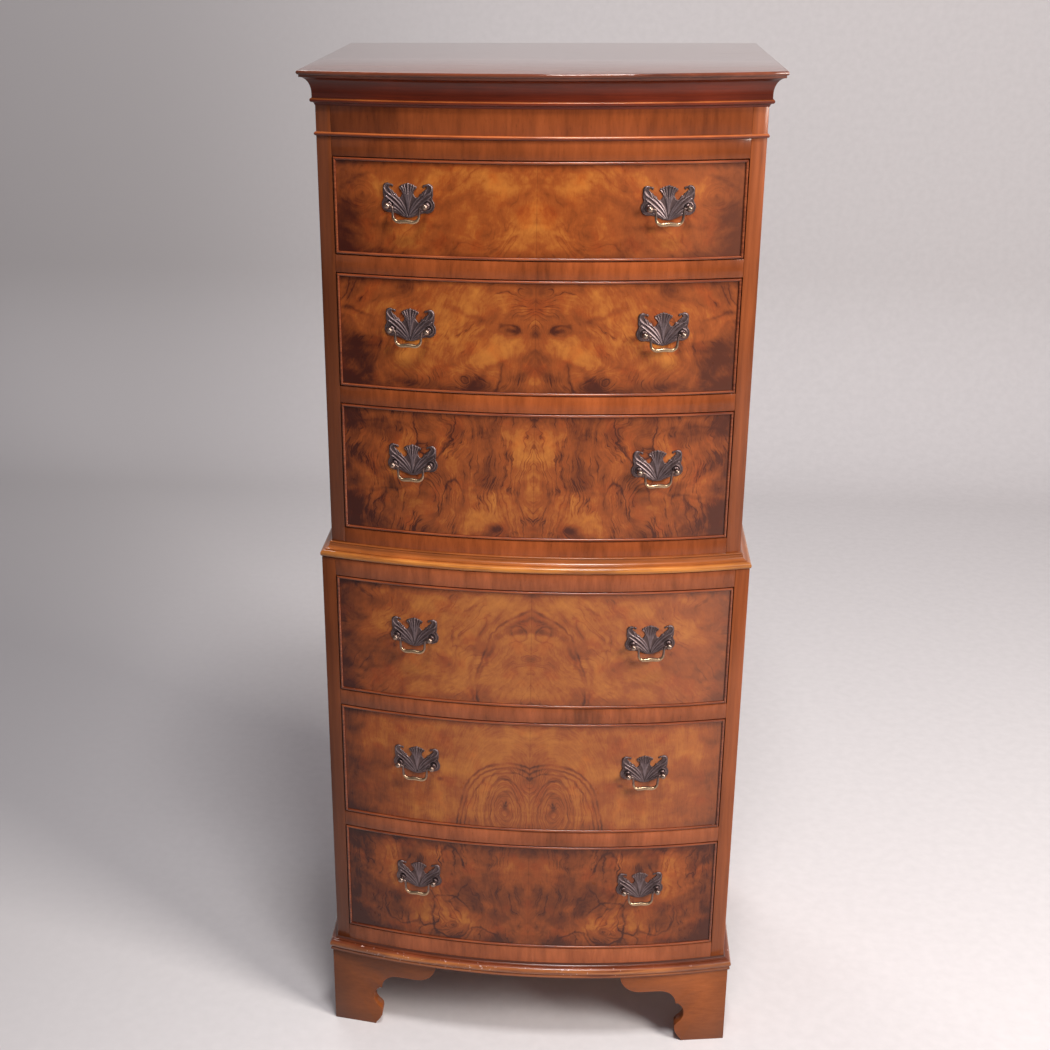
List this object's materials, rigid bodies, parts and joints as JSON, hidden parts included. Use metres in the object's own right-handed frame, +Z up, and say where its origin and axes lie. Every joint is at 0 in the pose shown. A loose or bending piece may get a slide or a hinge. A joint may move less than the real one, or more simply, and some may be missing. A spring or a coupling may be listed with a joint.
{
  "type": "bow front chest on chest",
  "caption": "Tall bow-front chest on chest in walnut: drawers with beaded fronts and swinging bail handles, cornice, waist moulding and bracket feet.",
  "frame": {"origin": "centre of the bounding box in plan, at the floor", "axes": "+Z up, +Y towards the back of the chest, +X to the right as seen from the front"},
  "size_m": [0.5514, 0.4307, 1.3],
  "materials": {
    "burr_front": "figured burr walnut veneer under glossy polish",
    "cockbead": "polished solid wood beading",
    "drawer_lining": "plain pale wood, thin polish",
    "antique_plate": "dark antiqued brass, worn on the raised parts",
    "antique_bail": "antiqued brass, worn bright on the grip",
    "crossbanded_rail": "cross-grain walnut veneer under glossy polish",
    "moulding": "solid walnut moulding under glossy polish",
    "bracket_foot": "walnut under satin polish",
    "inner_softwood": "raw softwood",
    "case_side": "walnut veneer under satin polish"
  },
  "bodies": {
    "case": {"top_board": "moulding", "cornice": "moulding", "frieze": "crossbanded_rail", "frieze_bead": "moulding", "upper_sides": "case_side", "upper_rails": "crossbanded_rail", "upper_runners": "inner_softwood", "upper_back": "inner_softwood", "upper_floor": "inner_softwood", "waist_moulding": "moulding", "lower_sides": "case_side", "lower_rails": "crossbanded_rail", "lower_runners": "inner_softwood", "lower_back": "inner_softwood", "lower_boards": "inner_softwood", "base_moulding": "moulding", "feet_front": "bracket_foot", "feet_rear": "bracket_foot"},
    "drawer_1": {"front_1": "burr_front", "beading_1": "cockbead", "box_1": "drawer_lining", "bottom_1": "drawer_lining", "pulls_1": "antique_plate"},
    "drawer_2": {"front_2": "burr_front", "beading_2": "cockbead", "box_2": "drawer_lining", "bottom_2": "drawer_lining", "pulls_2": "antique_plate"},
    "drawer_3": {"front_3": "burr_front", "beading_3": "cockbead", "box_3": "drawer_lining", "bottom_3": "drawer_lining", "pulls_3": "antique_plate"},
    "drawer_4": {"front_4": "burr_front", "beading_4": "cockbead", "box_4": "drawer_lining", "bottom_4": "drawer_lining", "pulls_4": "antique_plate"},
    "drawer_5": {"front_5": "burr_front", "beading_5": "cockbead", "box_5": "drawer_lining", "bottom_5": "drawer_lining", "pulls_5": "antique_plate"},
    "drawer_6": {"front_6": "burr_front", "beading_6": "cockbead", "box_6": "drawer_lining", "bottom_6": "drawer_lining", "pulls_6": "antique_plate"},
    "bail_1_left": {"bail_1_left": "antique_bail"},
    "bail_1_right": {"bail_1_right": "antique_bail"},
    "bail_2_left": {"bail_2_left": "antique_bail"},
    "bail_2_right": {"bail_2_right": "antique_bail"},
    "bail_3_left": {"bail_3_left": "antique_bail"},
    "bail_3_right": {"bail_3_right": "antique_bail"},
    "bail_4_left": {"bail_4_left": "antique_bail"},
    "bail_4_right": {"bail_4_right": "antique_bail"},
    "bail_5_left": {"bail_5_left": "antique_bail"},
    "bail_5_right": {"bail_5_right": "antique_bail"},
    "bail_6_left": {"bail_6_left": "antique_bail"},
    "bail_6_right": {"bail_6_right": "antique_bail"}
  },
  "joints": [
    {"name": "drawer_1_slide", "type": "slide", "parent": "case", "child": "drawer_1", "axis": [0, -1, 0], "range_m": [0, 0.28]},
    {"name": "bail_1_left_swing", "type": "hinge", "parent": "drawer_1", "child": "bail_1_left", "pos_m": [-0.14859, -0.19186, 1.15275], "axis": [-0.9885, 0.1511, 0], "range_deg": [-18, 198]},
    {"name": "bail_1_right_swing", "type": "hinge", "parent": "drawer_1", "child": "bail_1_right", "pos_m": [0.14859, -0.19186, 1.15275], "axis": [-0.9885, -0.1511, 0], "range_deg": [-18, 198]},
    {"name": "drawer_2_slide", "type": "slide", "parent": "case", "child": "drawer_2", "axis": [0, -1, 0], "range_m": [0, 0.28]},
    {"name": "bail_2_left_swing", "type": "hinge", "parent": "drawer_2", "child": "bail_2_left", "pos_m": [-0.14859, -0.19186, 1.0075], "axis": [-0.9885, 0.1511, 0], "range_deg": [-18, 198]},
    {"name": "bail_2_right_swing", "type": "hinge", "parent": "drawer_2", "child": "bail_2_right", "pos_m": [0.14859, -0.19186, 1.0075], "axis": [-0.9885, -0.1511, 0], "range_deg": [-18, 198]},
    {"name": "drawer_3_slide", "type": "slide", "parent": "case", "child": "drawer_3", "axis": [0, -1, 0], "range_m": [0, 0.28]},
    {"name": "bail_3_left_swing", "type": "hinge", "parent": "drawer_3", "child": "bail_3_left", "pos_m": [-0.14859, -0.19186, 0.84], "axis": [-0.9885, 0.1511, 0], "range_deg": [-18, 198]},
    {"name": "bail_3_right_swing", "type": "hinge", "parent": "drawer_3", "child": "bail_3_right", "pos_m": [0.14859, -0.19186, 0.84], "axis": [-0.9885, -0.1511, 0], "range_deg": [-18, 198]},
    {"name": "drawer_4_slide", "type": "slide", "parent": "case", "child": "drawer_4", "axis": [0, -1, 0], "range_m": [0, 0.28]},
    {"name": "bail_4_left_swing", "type": "hinge", "parent": "drawer_4", "child": "bail_4_left", "pos_m": [-0.14857, -0.2038, 0.615], "axis": [-0.9888, 0.1493, 0], "range_deg": [-18, 198]},
    {"name": "bail_4_right_swing", "type": "hinge", "parent": "drawer_4", "child": "bail_4_right", "pos_m": [0.14857, -0.2038, 0.615], "axis": [-0.9888, -0.1493, 0], "range_deg": [-18, 198]},
    {"name": "drawer_5_slide", "type": "slide", "parent": "case", "child": "drawer_5", "axis": [0, -1, 0], "range_m": [0, 0.28]},
    {"name": "bail_5_left_swing", "type": "hinge", "parent": "drawer_5", "child": "bail_5_left", "pos_m": [-0.14857, -0.2038, 0.431], "axis": [-0.9888, 0.1493, 0], "range_deg": [-18, 198]},
    {"name": "bail_5_right_swing", "type": "hinge", "parent": "drawer_5", "child": "bail_5_right", "pos_m": [0.14857, -0.2038, 0.431], "axis": [-0.9888, -0.1493, 0], "range_deg": [-18, 198]},
    {"name": "drawer_6_slide", "type": "slide", "parent": "case", "child": "drawer_6", "axis": [0, -1, 0], "range_m": [0, 0.28]},
    {"name": "bail_6_left_swing", "type": "hinge", "parent": "drawer_6", "child": "bail_6_left", "pos_m": [-0.14857, -0.2038, 0.2545], "axis": [-0.9888, 0.1493, 0], "range_deg": [-18, 198]},
    {"name": "bail_6_right_swing", "type": "hinge", "parent": "drawer_6", "child": "bail_6_right", "pos_m": [0.14857, -0.2038, 0.2545], "axis": [-0.9888, -0.1493, 0], "range_deg": [-18, 198]}
  ]
}
